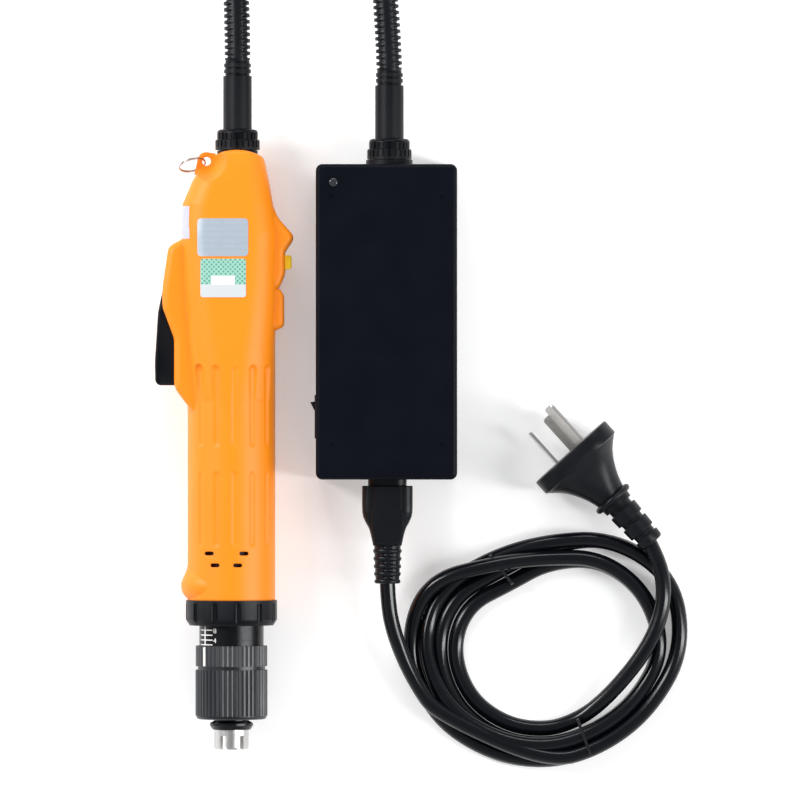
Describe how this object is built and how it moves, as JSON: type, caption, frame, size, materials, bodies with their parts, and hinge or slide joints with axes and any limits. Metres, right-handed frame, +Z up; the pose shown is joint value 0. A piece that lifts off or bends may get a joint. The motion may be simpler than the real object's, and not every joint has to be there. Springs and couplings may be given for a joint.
{
  "type": "electric torque screwdriver",
  "caption": "Inline electric torque screwdriver with lever start, knurled torque sleeve and hang ring, wired to a box power supply with a coiled mains lead.",
  "frame": {"origin": "on the bench, under the centre of the driver and supply taken together", "axes": "+Y from the bit end to the cord end, +Z up from the bench, +X from the driver towards the supply"},
  "size_m": [0.2414, 0.4588, 0.041],
  "materials": {
    "orange_plastic": "fine matt moulding",
    "black_plastic": "satin moulding",
    "black_metal": "black anodised",
    "black_rubber": "soft semi-gloss",
    "yellow_plastic": "smooth moulding",
    "steel": "turned",
    "bright_steel": "polished",
    "spring_steel": "drawn wire",
    "brass": "nickel-free brass",
    "board_green": "lacquered board",
    "ferrite": "dull ferrite",
    "copper_core": "wound core",
    "clear_lens": "clear moulding",
    "cord_black": "smooth cord jacket"
  },
  "bodies": {
    "driver_and_supply": {"housing_front": "orange_plastic", "housing_back": "orange_plastic", "housing_screws": "steel", "lock_collar": "black_plastic", "scale_tube": "black_metal", "ring_gear": "steel", "spindle_bearing": "brass", "motor_end_bell": "steel", "motor_can": "steel", "motor_bearings": "bright_steel", "control_board": "board_green", "trigger_switch": "black_plastic", "reversing_switch": "black_plastic", "lever_pin": "steel", "driver_socket": "black_plastic", "supply_top_case": "black_plastic", "supply_base_case": "black_plastic", "supply_screws": "steel", "indicator_lens": "clear_lens", "rocker_frame": "black_plastic", "supply_socket": "black_plastic", "mains_inlet": "black_plastic", "supply_board": "board_green", "transformer": "ferrite", "driver_plug": "black_plastic", "driver_boot": "black_rubber", "supply_plug": "black_plastic", "supply_boot": "black_rubber", "driver_cord": "cord_black", "cord_coil": "cord_black"},
    "torque_seat": {"thrust_washer": "steel", "torque_spring": "spring_steel"},
    "torque_ring": {"torque_sleeve": "black_plastic", "index_ring": "black_plastic"},
    "spindle": {"planet_carrier": "steel", "cam_disc": "steel", "clutch_balls": "bright_steel", "pressure_ring": "steel", "output_spindle": "steel", "lock_balls": "bright_steel", "chuck_crown": "bright_steel"},
    "planet_1": {"planet_gear_1": "steel"},
    "planet_2": {"planet_gear_2": "steel"},
    "planet_3": {"planet_gear_3": "steel"},
    "rotor": {"motor_shaft": "steel", "rotor_core": "copper_core"},
    "chuck_sleeve": {"bit_collar": "black_metal", "collar_spring": "spring_steel"},
    "lever": {"trigger_lever": "black_plastic"},
    "direction_knob": {"direction_button": "yellow_plastic"},
    "ring": {"hang_ring": "bright_steel"},
    "rocker": {"power_rocker": "black_plastic"},
    "driver_ring": {"driver_coupling_ring": "black_plastic"},
    "supply_ring": {"supply_coupling_ring": "black_plastic"},
    "mains_lead": {"lead_connector": "black_rubber", "lead_cord": "cord_black", "lead_coil": "cord_black", "mains_plug": "black_rubber", "plug_pins": "bright_steel"}
  },
  "joints": [
    {"name": "torque_travel", "type": "slide", "parent": "driver_and_supply", "child": "torque_seat", "axis": [0, 1, 0], "range_m": [-0.001, 0.008], "deforming": ["torque_spring"]},
    {"name": "torque_turn", "type": "hinge", "parent": "torque_seat", "child": "torque_ring", "pos_m": [-0.03375, -0.1082, 0.0205], "axis": [0, 1, 0], "range_deg": [-181, 1441]},
    {"name": "spindle_spin", "type": "hinge", "parent": "driver_and_supply", "child": "spindle", "pos_m": [-0.03375, -0.0782, 0.0205], "axis": [0, 1, 0], "continuous": true},
    {"name": "planet_spin_1", "type": "hinge", "parent": "spindle", "child": "planet_1", "pos_m": [-0.02625, -0.0712, 0.0205], "axis": [0, 1, 0], "continuous": true},
    {"name": "planet_spin_2", "type": "hinge", "parent": "spindle", "child": "planet_2", "pos_m": [-0.0375, -0.0712, 0.014], "axis": [0, 1, 0], "continuous": true},
    {"name": "planet_spin_3", "type": "hinge", "parent": "spindle", "child": "planet_3", "pos_m": [-0.0375, -0.0712, 0.027], "axis": [0, 1, 0], "continuous": true},
    {"name": "rotor_spin", "type": "hinge", "parent": "driver_and_supply", "child": "rotor", "pos_m": [-0.03375, -0.0382, 0.0205], "axis": [0, 1, 0], "continuous": true},
    {"name": "bit_release", "type": "slide", "parent": "spindle", "child": "chuck_sleeve", "axis": [0, 1, 0], "range_m": [0, 0.003], "stiffness_N_per_m": 400, "springref_m": -0.002, "deforming": ["collar_spring"]},
    {"name": "lever_press", "type": "hinge", "parent": "driver_and_supply", "child": "lever", "pos_m": [-0.06075, 0.0678, 0.0205], "axis": [0, 0, 1], "range_deg": [0, 6], "stiffness_Nm_per_rad": 0.6, "springref_deg": -5.73},
    {"name": "direction_slide", "type": "slide", "parent": "driver_and_supply", "child": "direction_knob", "axis": [0, 1, 0], "range_m": [0, 0.0024]},
    {"name": "hang_ring_swing", "type": "hinge", "parent": "driver_and_supply", "child": "ring", "pos_m": [-0.045, 0.1292, 0.0205], "axis": [0, 0, 1], "range_deg": [-60, 8]},
    {"name": "power_rock", "type": "hinge", "parent": "driver_and_supply", "child": "rocker", "pos_m": [0.0049, 0.0143, 0.019], "axis": [0, 0, 1], "range_deg": [-26, 0]},
    {"name": "driver_ring_turn", "type": "hinge", "parent": "driver_and_supply", "child": "driver_ring", "pos_m": [-0.03105, 0.139, 0.0205], "axis": [0, 1, 0], "range_deg": [0, 60]},
    {"name": "supply_ring_turn", "type": "hinge", "parent": "driver_and_supply", "child": "supply_ring", "pos_m": [0.0373, 0.1346, 0.019], "axis": [0, 1, 0], "range_deg": [0, 60]},
    {"name": "lead_unplug", "type": "slide", "parent": "driver_and_supply", "child": "mains_lead", "axis": [0, -1, 0], "range_m": [0, 0.02]}
  ],
  "couplings": [
    {"joint": "torque_turn", "follows": "torque_travel", "rad_per_m": 3141.6},
    {"joint": "planet_spin_1", "follows": "rotor_spin", "ratio": -0.53333},
    {"joint": "planet_spin_2", "follows": "rotor_spin", "ratio": -0.53333},
    {"joint": "planet_spin_3", "follows": "rotor_spin", "ratio": -0.53333},
    {"joint": "spindle_spin", "follows": "rotor_spin", "ratio": 0.2}
  ]
}
